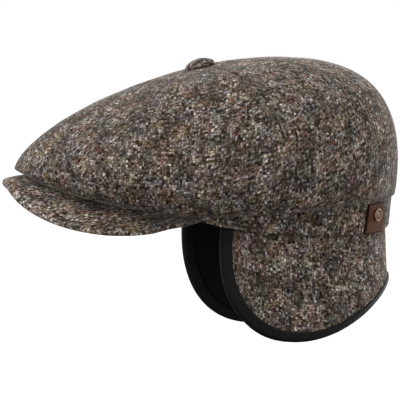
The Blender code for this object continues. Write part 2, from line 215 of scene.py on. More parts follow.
class Graph:
    """A material's node tree, built by calls."""

    def __init__(self, name: str) -> None:
        """Starts a material of that name with one Principled shader."""
        self.material = bpy.data.materials.new(name)
        self.material.use_nodes = True
        self.tree = self.material.node_tree
        self.shader = self.tree.nodes["Principled BSDF"]

    def node(
        self,
        kind: str,
        settings: Optional[dict] = None,
        values: Union[dict, list, None] = None,
        output: Union[int, str] = 0,
    ) -> Signal:
        """Adds any node.

        Args:
            kind: the node's type.
            settings: attributes of the node. "stops" holds a ramp's (position, colour) pairs.
            values: numbers, colours or signals by socket name or index, or a list in socket order.
            output: the output to return.

        Returns:
            That output as a signal.
        """
        made = self.tree.nodes.new(kind)
        settings = dict(settings or {})
        stops = settings.pop("stops", None)
        for key, value in settings.items():
            setattr(made, key, value)
        if stops:
            elements = made.color_ramp.elements
            while len(elements) < len(stops):
                elements.new(1.0)
            for element, (position, colour) in zip(elements, stops):
                element.position = position
                element.color = (*colour, 1)
        pairs = values.items() if isinstance(values, dict) else enumerate(values or [])
        for key, value in pairs:
            self.put(made.inputs[key], value)
        return Signal(self, made.outputs[output])

    def put(self, socket: bpy.types.NodeSocket, value: Union[Value, Sequence[float]]) -> None:
        """Links a signal to a socket, or sets a number or colour on it."""
        if isinstance(value, Signal):
            self.tree.links.new(value.socket, socket)
        elif isinstance(value, (tuple, list, Vector)):
            short = len(socket.default_value) == 4 and len(value) == 3
            socket.default_value = (*value, 1) if short else tuple(value)
        else:
            socket.default_value = value

    def principled(self, **values: Union[Value, Sequence[float]]) -> None:
        """Sets the shader's sockets; an underscore in a name stands for a space."""
        for name, value in values.items():
            self.put(self.shader.inputs[name.replace("_", " ").title().replace("Ior", "IOR")], value)

    def cloth_uv(self) -> Signal:
        """The cloth's own UV map, in metres."""
        return self.node("ShaderNodeUVMap", {"uv_map": CLOTH_UV})

    def object_point(self) -> Signal:
        """The point in the object's own coordinates, in metres."""
        return self.node("ShaderNodeTexCoord", output="Object")

    def split(self, vector: Signal) -> tuple[Signal, Signal, Signal]:
        """A vector's three numbers."""
        made = self.node("ShaderNodeSeparateXYZ", values=[vector])
        outputs = made.socket.node.outputs
        return Signal(self, outputs[0]), Signal(self, outputs[1]), Signal(self, outputs[2])

    def join(self, x: Value, y: Value, z: Value = 0.0) -> Signal:
        """A vector from three numbers."""
        return self.node("ShaderNodeCombineXYZ", values=[x, y, z])

    def scaled(self, vector: Signal, x: float, y: float, z: float = 1.0) -> Signal:
        """A vector times three numbers."""
        return self.node("ShaderNodeVectorMath", {"operation": "MULTIPLY"}, [vector, (x, y, z)])

    def attribute(self, name: str) -> Signal:
        """A number stored on the mesh's points."""
        return self.node("ShaderNodeAttribute", {"attribute_name": name}, output="Fac")

    def noise(
        self, vector: Signal, scale: float, detail: float = 2.0, roughness: float = 0.5
    ) -> Signal:
        """Smooth noise round one half."""
        values = {"Vector": vector, "Scale": scale, "Detail": detail, "Roughness": roughness}
        return self.node("ShaderNodeTexNoise", values=values)

    def random(self, vector: Signal) -> Signal:
        """A random number for each whole vector."""
        return self.node("ShaderNodeTexWhiteNoise", {"noise_dimensions": "3D"}, {"Vector": vector})

    def blend(self, share: Value, start: Paint, end: Paint, blend_type: str = "MIX") -> Signal:
        """A colour mixed from two."""
        settings = {"data_type": "RGBA", "blend_type": blend_type}
        return self.node("ShaderNodeMix", settings, {0: share, 6: start, 7: end}, output=2)

    def times(self, colour: Paint, other: Paint, share: Value = 1.0) -> Signal:
        """A colour multiplied by another."""
        return self.blend(share, colour, other, "MULTIPLY")

    def shaded(self, colour: Paint, shade: Signal) -> Signal:
        """A colour made lighter or darker."""
        return self.times(colour, self.join(shade, shade, shade))

    def ramp(
        self, value: Signal, stops: Sequence[tuple[float, Colour]], constant: bool = False
    ) -> Signal:
        """A colour ramp."""
        made = self.node("ShaderNodeValToRGB", {"stops": stops}, [value])
        if constant:
            made.socket.node.color_ramp.interpolation = "CONSTANT"
        return made

    def bump(self, height: Signal, depth: float) -> Signal:
        """A normal from a height of 0 to 1, which stands for a depth in metres."""
        return self.node("ShaderNodeBump", values={"Height": height, "Distance": depth, "Strength": 1.0})


@dataclass(frozen=True)
class TweedFinish:
    """Flecked wool in a plain weave of thick, uneven yarn."""

    name: str = "flecked_tweed"
    yarn_pitch: float = 0.00185
    unevenness: float = 0.36
    fleck_length: float = 2.1
    # The cloth's tone scale; where pieces differ in it, the difference is painted light.
    brightness: float = 0.88
    relief: float = 0.00030
    by_fleck: float = 0.33
    by_crossing: float = 0.20
    by_patch: float = 0.69
    darker_by: float = 0.11
    painted_shading_strength: float = 0.45
    fleck_shift: float = 9.0
    grain_along_u: bool = False
    dark: Colour = (0.0074, 0.0045, 0.0030)
    charcoal: Colour = (0.052, 0.0375, 0.0290)
    brown: Colour = (0.115, 0.091, 0.0725)
    stone: Colour = (0.234, 0.206, 0.186)
    cream: Colour = (0.482, 0.458, 0.436)

    def material(self) -> bpy.types.Material:
        """Builds the material.

        Returns:
            The material, which reads the cloth's UV map.
        """
        graph = Graph(self.name)
        across, along, _ = graph.split(graph.cloth_uv())
        if self.grain_along_u:
            across, along = along, across
        cells = graph.join(across * (1 / self.yarn_pitch), along * (1 / self.yarn_pitch))
        x, y = self._uneven(graph, cells)
        column, row = x.floor(), y.floor()
        inside_x, inside_y = x - column - 0.5, y - row - 0.5
        warp_up = (column + row) % 2.0 < 0.5
        warp_shift = graph.random(graph.join(column, 3.0)) * self.fleck_shift
        weft_shift = graph.random(graph.join(row, 7.0)) * self.fleck_shift
        warp_fleck = (y / self.fleck_length + warp_shift).floor()
        weft_fleck = (x / self.fleck_length + weft_shift).floor()
        warp_pick = graph.random(graph.join(column, warp_fleck, 11.0))
        weft_pick = graph.random(graph.join(row, weft_fleck, 23.0))
        pick = weft_pick + (warp_pick - weft_pick) * warp_up
        crossing = graph.random(graph.join(column, row, 31.0))
        soft = graph.noise(graph.scaled(cells, 1.1, 0.85), 1.0, 2.0, 0.6)
        level = pick * self.by_fleck + crossing * self.by_crossing + soft * self.by_patch - self.darker_by
        colour = graph.ramp(level, self._stops())
        colour = self._tinted(graph, colour, cells, 1.0 - level.step(0.45, 0.75) * 0.75)
        colour = self._nubs(graph, colour, cells)
        # Painted shade stored on the mesh darkens the colour along seams, round the button, below the
        # band's edge and on the button's lower side.
        painted_shade_factor = 1.0 - graph.attribute(PAINTED_SHADING) * self.painted_shading_strength
        height = self._crown_of_yarn(inside_x, inside_y, warp_up)
        fibre = graph.noise(cells, 5.5, 3.0, 0.65)
        # The gaps between yarns are painted darker as shade, besides the bump; the fibre noise is the
        # yarn's own uneven tone.
        hollow = height.step(0.05, 0.75)
        shade = (0.44 + hollow * 0.58) * (0.80 + fibre * 0.40) * painted_shade_factor * self.brightness
        relief = height * 0.8 + fibre * 0.35
        graph.principled(
            base_color=graph.shaded(colour, shade),
            roughness=0.92,
            specular_ior_level=0.18,
            sheen_weight=0.40,
            sheen_roughness=0.2,
            sheen_tint=(0.82, 0.76, 0.70),
            normal=graph.bump(relief, self.relief),
        )
        return graph.material

    def _uneven(self, graph: Graph, cells: Signal) -> tuple[Signal, Signal]:
        """The weave's coordinates, pushed about as hand-spun yarn is."""
        x, y, _ = graph.split(cells)
        wide, fine = self.unevenness * 5, self.unevenness * 2.4
        wide_x = graph.noise(cells, 0.23, 1.0)
        wide_y = graph.noise(graph.join(y, x), 0.27, 1.0)
        fine_x = graph.noise(cells, 0.9, 1.0)
        fine_y = graph.noise(graph.join(y + 37.0, x), 0.9, 1.0)
        pushed_x = x + (wide_x - 0.5) * wide + (fine_x - 0.5) * fine
        pushed_y = y + (wide_y - 0.5) * wide + (fine_y - 0.5) * fine
        return pushed_x, pushed_y

    def _stops(self) -> list[tuple[float, Colour]]:
        """The yarn's colours by share, from dark to cream."""
        return [
            (0.26, self.dark),
            (0.40, self.charcoal),
            (0.510, self.brown),
            (0.64, self.stone),
            (0.80, self.cream),
        ]

    def _tinted(self, graph: Graph, colour: Signal, cells: Signal, share: Signal) -> Signal:
        """Soft patches of warmer and cooler wool, and of lighter and darker wool.

        Args:
            graph: the material's graph.
            colour: the yarn's colour.
            cells: the weave's coordinates.
            share: how much of the tint the yarn takes, less where it is pale.

        Returns:
            The colour with its patches.
        """
        x, y, _ = graph.split(cells)
        # Warm, rosy, olive and rust: where, noise's scale and detail, its step, and the tint off and on
        patches = (
            (graph.join(x, y, 71.0), 0.10, 3.0, (0.34, 0.66), (0.94, 1.0, 1.06), (1.08, 0.995, 0.90)),
            (cells, 0.15, 3.0, (0.34, 0.66), (0.89, 1.0, 1.0), (1.21, 0.985, 1.0)),
            (graph.join(y, x, 43.0), 0.14, 3.0, (0.34, 0.66), (1.0, 1.0, 1.16), (1.0, 1.0, 0.75)),
            (graph.join(x, y, 17.0), 0.30, 2.0, (0.52, 0.70), (1.0, 1.0, 1.0), (1.17, 0.99, 0.82)),
        )
        for where, scale, detail, (start, end), off, on in patches:
            patch = graph.noise(where, scale, detail, 0.6).step(start, end)
            colour = graph.times(colour, graph.blend(patch, off, on), share)
        mottle = graph.noise(graph.scaled(cells, 1.0, 0.7), 0.14, 2.0, 0.5).step(0.3, 0.7)
        colour = graph.times(colour, graph.blend(mottle, (0.60, 0.60, 0.60), (1.40, 1.39, 1.38)))
        speck = graph.noise(graph.join(y, x, 61.0), 0.42, 1.0).step(0.3, 0.7)
        return graph.times(colour, graph.blend(speck, (0.84, 0.84, 0.84), (1.16, 1.16, 1.16)))

    def _nubs(self, graph: Graph, colour: Signal, cells: Signal) -> Signal:
        """Small coloured nubs of dyed wool, here and there."""
        settings = {"voronoi_dimensions": "2D", "feature": "F1"}
        values = {"Vector": cells, "Scale": 0.13, "Randomness": 1.0}
        near = graph.node("ShaderNodeTexVoronoi", settings, values)
        picked = Signal(graph, near.socket.node.outputs["Color"])
        choice, chance, _ = graph.split(picked)
        ragged = graph.noise(cells, 1.1, 1.0)
        inside = 1.0 - (near + (ragged - 0.5) * 0.26).step(0.06, 0.20)
        dye = graph.ramp(
            choice,
            [
                (0.0, (0.30, 0.075, 0.035)),
                (0.25, (0.33, 0.055, 0.045)),
                (0.45, (0.36, 0.22, 0.05)),
                (0.62, (0.11, 0.13, 0.055)),
                (0.80, (0.10, 0.145, 0.17)),
                (0.92, (0.34, 0.17, 0.07)),
            ],
            constant=True,
        )
        return graph.blend(inside * (chance > 0.84) * 0.34, colour, dye)

    def _crown_of_yarn(self, x: Signal, y: Signal, warp_up: Signal) -> Signal:
        """The height of the upper yarn at a crossing, from 0 in the gap between yarns to 1."""
        across = y + (x - y) * warp_up
        length = x + (y - x) * warp_up
        rounded = (across * math.pi).cosine()
        dipping = (length * (math.pi * 0.82)).cosine()
        return rounded * dipping


@dataclass(frozen=True)
class LooseWoolFinish:
    """A single wool fibre, one colour all over."""

    name: str = "loose_wool"
    colour: Colour = (0.42, 0.385, 0.36)

    def material(self) -> bpy.types.Material:
        """Builds the material."""
        graph = Graph(self.name)
        graph.principled(base_color=self.colour, roughness=0.9, specular_ior_level=0.2)
        return graph.material


@dataclass(frozen=True)
class FleeceFinish:
    """Short black pile."""

    name: str = "black_fleece"
    colour: Colour = (0.006, 0.006, 0.0065)

    def material(self) -> bpy.types.Material:
        """Builds the material."""
        graph = Graph(self.name)
        point = graph.object_point()
        tufts = graph.noise(point, 520.0, 3.0, 0.6)
        worn = graph.noise(point, 45.0, 2.0, 0.6)
        shade = 0.55 + tufts * 0.6 + worn * 0.3
        graph.principled(
            base_color=graph.shaded(self.colour, shade),
            roughness=0.95,
            specular_ior_level=0.12,
            sheen_weight=0.05,
            sheen_roughness=0.5,
            normal=graph.bump(tufts, 0.0009),
        )
        return graph.material


@dataclass(frozen=True)
class TapeFinish:
    """Fine black twill tape with a soft sheen."""

    name: str = "black_tape"
    rib_pitch: float = 0.00055
    colour: Colour = (0.0024, 0.0024, 0.0023)

    def material(self) -> bpy.types.Material:
        """Builds the material."""
        graph = Graph(self.name)
        across, along, _ = graph.split(graph.cloth_uv())
        wave = ((across + along) * (TURN / self.rib_pitch)).cosine() * 0.5 + 0.5
        soft = graph.noise(graph.cloth_uv(), 180.0, 3.0, 0.6)
        shade = 0.72 + wave * 0.2 + soft * 0.35
        graph.principled(
            base_color=graph.shaded(self.colour, shade),
            roughness=0.55,
            specular_ior_level=0.15,
            sheen_weight=0.06,
            sheen_roughness=0.2,
            normal=graph.bump(wave * 0.5 + soft * 0.7, 0.00012),
        )
        return graph.material


@dataclass(frozen=True)
class LeatherFinish:
    """Waxed brown leather, darker at its cut edges."""

    name: str = "brown_leather"
    face: Colour = (0.080, 0.029, 0.012)
    dark: Colour = (0.022, 0.008, 0.005)
    dark_edge: float = 0.0016

    def material(self) -> bpy.types.Material:
        """Builds the material."""
        graph = Graph(self.name)
        point = graph.object_point()
        settings, values = {"feature": "DISTANCE_TO_EDGE"}, {"Vector": point, "Scale": 1500.0}
        grain = graph.node("ShaderNodeTexVoronoi", settings, values)
        pores = graph.noise(point, 900.0, 3.0, 0.6)
        cloudy = graph.noise(point, 130.0, 3.0, 0.6).step(0.3, 0.7)
        edge = graph.attribute(EDGE_WEAR).step(0.0, self.dark_edge)
        tint = graph.blend(cloudy, (0.62, 0.80, 0.62), (1.35, 0.98, 0.98))
        colour = graph.blend(edge, self.dark, graph.times(self.face, tint))
        graph.principled(
            base_color=colour,
            roughness=0.50 + pores * 0.3,
            specular_ior_level=0.10,
            normal=graph.bump(grain.step(0.0, 0.25) * 0.6 + pores * 0.4, 0.00012),
        )
        return graph.material


@dataclass(frozen=True)
class MetalFinish:
    """Aged bronze, bright on its rims and brown in its hollows."""

    name: str = "aged_bronze"
    bright: Colour = (0.25, 0.17, 0.11)
    dull: Colour = (0.110, 0.072, 0.044)

    def material(self) -> bpy.types.Material:
        """Builds the material."""
        graph = Graph(self.name)
        point = graph.object_point()
        patina = graph.noise(point, 900.0, 3.0, 0.6)
        worn = graph.attribute(EDGE_WEAR)
        polish = (worn + (patina - 0.5) * 0.5).step(0.35, 0.8)
        graph.principled(
            base_color=graph.blend(polish, self.dull, self.bright),
            metallic=0.9,
            roughness=0.55 - polish * 0.2,
            normal=graph.bump(patina, 0.00004),
        )
        return graph.material


@dataclass
class ClothWall:
    """A closed cloth wall on a grid, with its UV map in metres and V along the cloth's grain.

    Attributes:
        name: the piece's name.
        columns: grid steps across.
        rows: grid steps along the grain.
        place: gives the outer point, or the inner one, at shares of the columns and rows.
        rim: how far the map runs on round the wall's cut edges, in metres.
        shift: where on the cloth the piece is cut, in metres, so that no two pieces look alike.
        hollow: gives how much painted shade darkens a point as it lies in a seam or crease, from 0 to 1, at
            shares of the columns and rows.
    """

    name: str
    columns: int
    rows: int
    place: Place
    rim: float = 0.002
    shift: float = 0.0
    hollow: Optional[Callable[[float, float], float]] = None

    def build(self) -> bpy.types.Object:
        """Makes the wall's object.

        Returns:
            A closed mesh with its faces outward, smooth, with the UV map.
        """
        bm = bmesh.new()
        depth = bm.verts.layers.float.new(PAINTED_SHADING)
        bmesh.ops.create_grid(bm, x_segments=self.columns, y_segments=self.rows, size=0.5)
        doubled = bmesh.ops.extrude_face_region(bm, geom=bm.faces[:], use_keep_orig=True)
        inner = {v for v in doubled["geom"] if isinstance(v, bmesh.types.BMVert)}
        bmesh.ops.translate(bm, verts=list(inner), vec=(0, 0, -1))
        bmesh.ops.recalc_face_normals(bm, faces=bm.faces)
        cell = {}
        for vert in bm.verts:
            column = round((vert.co.x + 0.5) * self.columns)
            row = round((vert.co.y + 0.5) * self.rows)
            cell[vert] = (column, row)
            vert.co = self.place(column / self.columns, row / self.rows, vert in inner)
            # Stores the painted shade that the tweed's colour reads.
            if self.hollow:
                vert[depth] = self.hollow(column / self.columns, row / self.rows)
        if bm.calc_volume(signed=True) < 0:
            bmesh.ops.reverse_faces(bm, faces=bm.faces)
        self._map(bm, cell, inner)
        return mesh_object(self.name, bm)

    def _map(self, bm: bmesh.types.BMesh, cell: dict, inner: set) -> None:
        """Writes the UV map from lengths measured over the outer face."""
        outer = {cell[v]: v.co for v in bm.verts if v not in inner}
        along, across = {}, {}
        for column in range(self.columns + 1):
            length = 0.0
            for row in range(self.rows + 1):
                if row:
                    length += (outer[column, row] - outer[column, row - 1]).length
                along[column, row] = length
        middle = self.columns // 2
        for row in range(self.rows + 1):
            for way in (1, -1):
                length, column = 0.0, middle
                across[middle, row] = 0.0
                while 0 <= column + way <= self.columns:
                    length += way * (outer[column + way, row] - outer[column, row]).length
                    column += way
                    across[column, row] = length
        layer = bm.loops.layers.uv.new(CLOTH_UV)
        for face in bm.faces:
            for loop in face.loops:
                column, row = cell[loop.vert]
                u, v = across[column, row], along[column, row]
                if loop.vert in inner:
                    u += self.rim * ((column == self.columns) - (column == 0))
                    v += self.rim * ((row == self.rows) - (row == 0))
                loop[layer].uv = (u + self.shift, v - self.shift * 0.7)


def mesh_object(name: str, bm: bmesh.types.BMesh) -> bpy.types.Object:
    """Turns a bmesh into a smooth-shaded object in the scene and frees it."""
    for face in bm.faces:
        face.smooth = True
    mesh = bpy.data.meshes.new(name)
    bm.to_mesh(mesh)
    bm.free()
    made = bpy.data.objects.new(name, mesh)
    bpy.context.scene.collection.objects.link(made)
    return made


def turned(
    profile: Sequence[tuple[float, float]], steps: int, wear: Sequence[float] = ()
) -> bmesh.types.BMesh:
    """Turns a profile round Z into a closed solid.

    Args:
        profile: radius and height of each point, from the top to the foot.
        steps: faces round.
        wear: how bright the first points are worn, from 0 to 1, where the finish asks for it.

    Returns:
        The solid's bmesh.
    """
    bm = bmesh.new()
    layer = bm.verts.layers.float.new(EDGE_WEAR) if wear else None
    verts = [bm.verts.new((radius, 0, height)) for radius, height in profile]
    for vert, brightness in zip(verts, wear):
        vert[layer] = brightness
    edges = [bm.edges.new(pair) for pair in zip(verts, verts[1:])]
    settings = {"cent": (0, 0, 0), "axis": (0, 0, 1), "angle": TURN, "steps": steps}
    bmesh.ops.spin(bm, geom=verts + edges, use_merge=True, **settings)
    bmesh.ops.remove_doubles(bm, verts=bm.verts[:], dist=SAME_POINT)
    bmesh.ops.recalc_face_normals(bm, faces=bm.faces[:])
    return bm


def dress(
    piece: bpy.types.Object,
    finish: bpy.types.Material,
    nodes: Sequence[str] = (),
) -> bpy.types.Object:
    """Gives a piece its material and body, and has it stand for CAD nodes, which it hides.

    Args:
        piece: the piece, in place.
        finish: its material.
        nodes: the CAD nodes that it replaces.

    Returns:
        The piece.
    """
    piece.data.materials.append(finish)
    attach(piece, "root")
    if nodes:
        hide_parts(*nodes)
    LOG.info("%s: %d faces", piece.name, len(piece.data.polygons))
    return piece


def area_of(piece: bpy.types.Object) -> float:
    """Half the area of a closed wall, which is the area of its cloth."""
    return sum(face.area for face in piece.data.polygons) / 2


def as_sheet(
    piece: bpy.types.Object, flat: tuple[float, float]
) -> None:
    """Works out a cloth piece's area, no more than a share of the rectangle that it is cut from, and does
    nothing more with it.
    """
    area = min(area_of(piece), CUT_TO_FIT * flat[0] * flat[1])


def rounded_edge(distance: float, radius: float) -> float:
    """How far a face falls back at a distance from an edge that is rounded by a radius."""
    reach = max(radius - max(distance, 0.0), 0.0)
    return radius - math.sqrt(max(radius * radius - reach * reach, 0.0))


def ripple(point: Vector, size: float, depth: float) -> float:
    """Gentle unevenness of cloth, in metres: soft bumps of a size, up to about a depth."""
    return noise.noise(point / size) * depth


@dataclass
class LooseWool:
    """Fibres that stand off the tweed, each a closed needle with three sides."""

    material: bpy.types.Material
    per_square_metre: float = 150000.0
    length: float = 0.0016
    thickness: float = 0.00007
    root: float = 0.0001
    seed: int = 11

    def grow(self, name: str, grounds: Sequence[Ground]) -> bpy.types.Object:
        """Grows fibres on tweed.

        Args:
            name: the fibres' name.
            grounds: the tweed pieces, each with how many of its faces, from the first, bear fibres.

        Returns:
            The dressed fibres, one object.
        """
        chance = random.Random(f"{name} {self.seed}")
        spots = []
        for piece, faces in grounds:
            for face in piece.data.polygons[:faces]:
                corners = [piece.data.vertices[index].co for index in face.vertices]
                for _ in range(int(face.area * self.per_square_metre + chance.random())):
                    across, along = chance.random(), chance.random()
                    near, far = corners[0].lerp(corners[1], across), corners[-1].lerp(corners[-2], across)
                    spots.append((near.lerp(far, along), face.normal))
        bm = bmesh.new()
        bmesh.ops.create_cone(bm, cap_ends=True, segments=3, radius1=0.5, radius2=0, depth=1)
        made = 1
        while made < len(spots):
            bmesh.ops.duplicate(bm, geom=[*bm.verts, *bm.edges, *bm.faces])
            made *= 2
        tips = [vert for vert in bm.verts if vert.co.z > 0]
        needles = [[tip, *(edge.other_vert(tip) for edge in tip.link_edges)] for tip in tips]
        for needle, (spot, normal) in zip(needles, spots):
            self._plant(needle, spot, normal, chance)
        spare = [vert for needle in needles[len(spots) :] for vert in needle]
        bmesh.ops.delete(bm, geom=spare, context="VERTS")
        return dress(mesh_object(name, bm), self.material)

    def _plant(
        self,
        verts: Sequence[bmesh.types.BMVert],
        spot: Vector,
        normal: Vector,
        chance: random.Random,
    ) -> None:
        """Stretches one needle and stands it on its spot, leaning its own way."""
        sideways = Vector((chance.gauss(0, 1), chance.gauss(0, 1), chance.gauss(0, 1)))
        sideways = (sideways - normal * sideways.dot(normal)).normalized()
        lean = chance.uniform(0.3, 1.45)
        way = (normal * math.cos(lean) + sideways * math.sin(lean)).normalized()
        length = self.length * chance.uniform(0.4, 1.3)
        flat = way.cross(normal.cross(sideways)).normalized()
        other = way.cross(flat)
        foot = spot - normal * self.root
        for vert in verts:
            x, y, z = vert.co
            vert.co = foot + (flat * x + other * y) * self.thickness + way * (z + 0.5) * length


@dataclass
class Headband:
    """The tweed band round the head, and the oval that everything else is placed from."""

    length: float = 0.208
    width: float = 0.168
    wider_behind: float = 0.02
    height_front: float = 0.0140
    height_back: float = 0.0245
    dip_at_ears: float = 0.0086
    rise_in_front: float = 0.0060
    rise_power: int = 6
    wall: float = 0.0020
    edge_radius: float = 0.0009
    seam_gap: float = 0.0004
    ends_gap_share: float = 0.1
    seam_depth: float = 0.0004
    seam_half_width: float = 0.0012
    hem_sags: float = 0.0012
    sags_from: float = math.radians(68)
    sags_to: float = math.radians(156)
    sags_fade: float = math.radians(6)
    cut_wider: float = 1.1
    columns: int = 260
    rows: int = 12

    def outline(self, angle: float, outward: float = 0.0) -> Vector:
        """The band's outer oval at an angle, moved outward along its normal."""
        along = self._on_oval(angle + SMALL_STEP) - self._on_oval(angle - SMALL_STEP)
        normal = Vector((along.y, -along.x, 0)).normalized()
        return self._on_oval(angle) + normal * outward

    def _on_oval(self, angle: float) -> Vector:
        """The oval itself."""
        wide = self.width / 2 * (1 - self.wider_behind * math.cos(angle))
        return Vector((wide * math.sin(angle), -self.length / 2 * math.cos(angle), 0))

    def speed(self, angle: float) -> float:
        """Metres of arc for each radian."""
        along = self._on_oval(angle + SMALL_STEP) - self._on_oval(angle - SMALL_STEP)
        return along.length / (2 * SMALL_STEP)

    def back_share(self, angle: float) -> float:
        """0 at the front, 1 at the back."""
        return (1 - math.cos(angle)) / 2

    def bottom(self, angle: float) -> float:
        """Height of the lower edge."""
        rise = (1 - self.back_share(angle)) ** self.rise_power
        return self.rise_in_front * rise - self.dip_at_ears * math.sin(angle) ** 2

    def height(self, angle: float) -> float:
        """The band's height at an angle."""
        return mix(self.height_front, self.height_back, self.back_share(angle))

    def top(self, angle: float) -> float:
        """Height of the upper edge."""
        return self.bottom(angle) + self.height(angle)

    def hem(self, angle: float) -> float:
        """How far the lower edge sags at an angle, over the ears and behind them."""
        aside = abs(math.remainder(angle, TURN))
        fade = self.sags_fade
        sags = smooth_step(self.sags_from - fade, self.sags_from + fade, aside)
        return self.hem_sags * sags * smooth_step(self.sags_to + fade, self.sags_to - fade, aside)

    def build(self, finish: TweedFinish) -> Ground:
        """Makes and dresses the band, closed by a seam at the back.

        Returns:
            The band and its outer faces.
        """
        half_gap = self.ends_gap_share * self.seam_gap / self.speed(math.pi)

        def place(u: float, v: float, inner: bool) -> Vector:
            angle = mix(-math.pi + half_gap, math.pi - half_gap, u)
            height = v * self.height(angle)
            back = rounded_edge(min(height, self.height(angle) - height), self.edge_radius)
            to_seam = (math.pi - abs(angle)) * self.speed(angle)
            seam = self.seam_depth * hump(to_seam, 0, self.seam_half_width)
            point = self.outline(angle, back - self.wall if inner else -back - seam)
            point.z = self.bottom(angle) + height - self.hem(angle) * (1 - v) ** 2
            return point

        band = ClothWall("headband_tweed", self.columns, self.rows, place).build()
        dress(band, finish.material(), ["headband"])
        flat = (TURN * self.length / 2, self.height_back * self.cut_wider)
        as_sheet(band, flat)
        return band, self.columns * self.rows


@dataclass
class Crown:
    """Eight tweed panels from the button over the dome and round the fold to the band."""

    band: Headband
    panels: int = 8
    height: float = 0.0992
    slope_at_button: float = 0.30
    button_forward: float = 0.0430
    overhang_front: float = 0.0622
    overhang_side: float = 0.022
    overhang_back: float = 0.0018
    wider_behind: float = 0.09
    seam_below_band_top: float = 0.0018
    underside_steepest: float = 0.25
    underside_power: float = 1.5
    fold_radius: float = 0.0100
    hole_radius: float = 0.0048
    wall: float = 0.0020
    seam_depth: float = 0.00022
    seam_deeper_on_top: float = 0.00035
    seam_half_width: float = 0.0012
    button_radius: float = 0.0108
    button_press: float = 0.0010
    button_press_width: float = 0.0026
    top_from: float = 0.11
    top_within: float = 0.03
    shadow_at_rim: float = 0.3
    shadow_at_button: float = 1.2
    bunched_at_seams: float = 0.55
    waves: tuple = ((0.045, 0.0009), (0.016, 0.0002))
    calm_rows_above: int = 6
    calm_rows_below: int = 12
    cut_apart: float = 0.31
    cut_length: float = 1.25
    cut_width: float = 0.6
    columns: int = 28
    dome_rows: int = 60
    fold_rows: int = 14
    under_rows: int = 10
    sections: tuple = (
        # angle, shoulder, lean, fullness, rim, fold, curl
        (0, 0.35, 0.05, 0.45, 0.15, 0.56, 0.60),
        (30, 0.40, 0.05, 0.45, 0.15, 0.93, 0.80),
        (60, 0.45, 0.10, 0.70, 0.15, 0.86, 1.00),
        (90, 0.50, 0.05, 0.85, 0.20, 0.38, 1.00),
        (120, 0.60, 0.00, 0.95, 0.25, 0.04, 0.70),
        (150, 0.80, 0.00, 0.95, 0.30, 0.01, 0.32),
        (180, 0.80, 0.00, 0.95, 0.30, 0.11, 0.10),
    )

    def rim(self, angle: float) -> Vector:
        """The outline from above, beside the band's oval at the same angle."""
        front = self.band.length / 2 + self.overhang_front
        back = self.band.length / 2 + self.overhang_back
        half, forward = (front + back) / 2, (front - back) / 2
        turned = angle + math.asin(forward / half) * math.sin(angle)
        wide = (self.band.width / 2 + self.overhang_side) * (1 - self.wider_behind * math.cos(turned))
        return Vector((wide * math.sin(turned), -forward - half * math.cos(turned), 0))

    def surface(self, angle: float, row: float) -> Vector:
        """The outer face. Rows run from the button down the dome, round the fold and in to the band."""
        degrees = abs((math.degrees(angle) + 180) % 360 - 180)
        shoulder, lean, fullness, rim_share, fold, curl = table_row(self.sections, degrees)
        fold_height = self.band.top(angle) - fold * self.band.height(angle)
        radius = curl * self.fold_radius
        pole = Vector((0, -self.button_forward, self.height))
        rim = self.rim(angle)
        across = rim - Vector((0, -self.button_forward, 0))
        rim_height = self.height * rim_share
        if row <= self.dome_rows:
            start = self.hole_radius / across.length / (3 * shoulder)
            first = pole + across * shoulder + Vector((0, 0, self.slope_at_button * across.y * shoulder))
            second = rim - across * lean + Vector((0, 0, self.height * fullness))
            last = rim + Vector((0, 0, rim_height))
            share = row / self.dome_rows
            return bezier((pole, first, second, last), mix(start, 1, share * abs(share) ** 0.2))
        inward = (self.band.outline(angle) - rim).normalized()
        if row <= self.dome_rows + self.fold_rows:
            turn = (row - self.dome_rows) / self.fold_rows * math.pi / 2
            height = mix(rim_height, fold_height, math.sin(turn))
            return rim + inward * radius * (1 - math.cos(turn)) + Vector((0, 0, height))
        share = (row - self.dome_rows - self.fold_rows) / self.under_rows
        bottom, seam = rim + inward * radius, self.band.outline(angle, self.band.seam_gap)
        steepest = fold_height + self.underside_steepest * (rim - self.band.outline(angle)).length
        seam_height = min(self.band.top(angle) - self.seam_below_band_top, steepest)
        point = bottom.lerp(seam, share)
        return point + Vector((0, 0, mix(fold_height, seam_height, share**self.underside_power)))

    def inward(self, angle: float, row: float) -> Vector:
        """The way from the outer face to the inner one: square to the dome, and up past the fold."""
        if row > self.dome_rows:
            turn = min((row - self.dome_rows) / self.fold_rows, 1) * math.pi / 2
            level = (self.band.outline(angle) - self.rim(angle)).normalized()
            return level * math.cos(turn) + Vector((0, 0, math.sin(turn)))
        along = self.surface(angle + SMALL_STEP, row) - self.surface(angle - SMALL_STEP, row)
        down = self.surface(angle, row + SMALL_STEP) - self.surface(angle, max(row - SMALL_STEP, 0))
        return along.cross(down).normalized()

    def build(self, finish: TweedFinish) -> list[Ground]:
        """Makes and dresses every panel.

        Returns:
            Each panel and its outer faces.
        """
        material = finish.material()
        return [self._panel(index, material) for index in range(self.panels)]

    def _panel(self, index: int, material: bpy.types.Material) -> Ground:
        """One panel, whose edges turn down into the seams."""
        start, end = TURN * index / self.panels, TURN * (index + 1) / self.panels
        all_rows = self.dome_rows + self.fold_rows + self.under_rows

        def across(u: float) -> float:
            return mix(start, end, u - self.bunched_at_seams * math.sin(TURN * u) / TURN)

        def hollows(angle: float, row: float) -> tuple[float, float, float]:
            point = self.surface(angle, row)
            radius = Vector((point.x, point.y + self.button_forward, 0)).length
            to_seam = min(angle - start, end - angle) * max(radius, self.hole_radius)
            seam = hump(to_seam, 0, self.seam_half_width)
            on_top = smooth_step(self.top_from, self.top_within, radius)
            pressed = hump(radius, self.button_radius, self.button_press_width) * (row <= self.dome_rows)
            return seam, on_top, pressed

        # Painted shade: the seams are darker, most near the top, with a painted shadow in the ring round
        # the button.
        def hollow(u: float, v: float) -> float:
            seam, on_top, pressed = hollows(across(u), v * all_rows)
            beside_button = pressed**3 * self.shadow_at_button
            return min(seam * mix(self.shadow_at_rim, 1.0, on_top) + beside_button, 1.0)

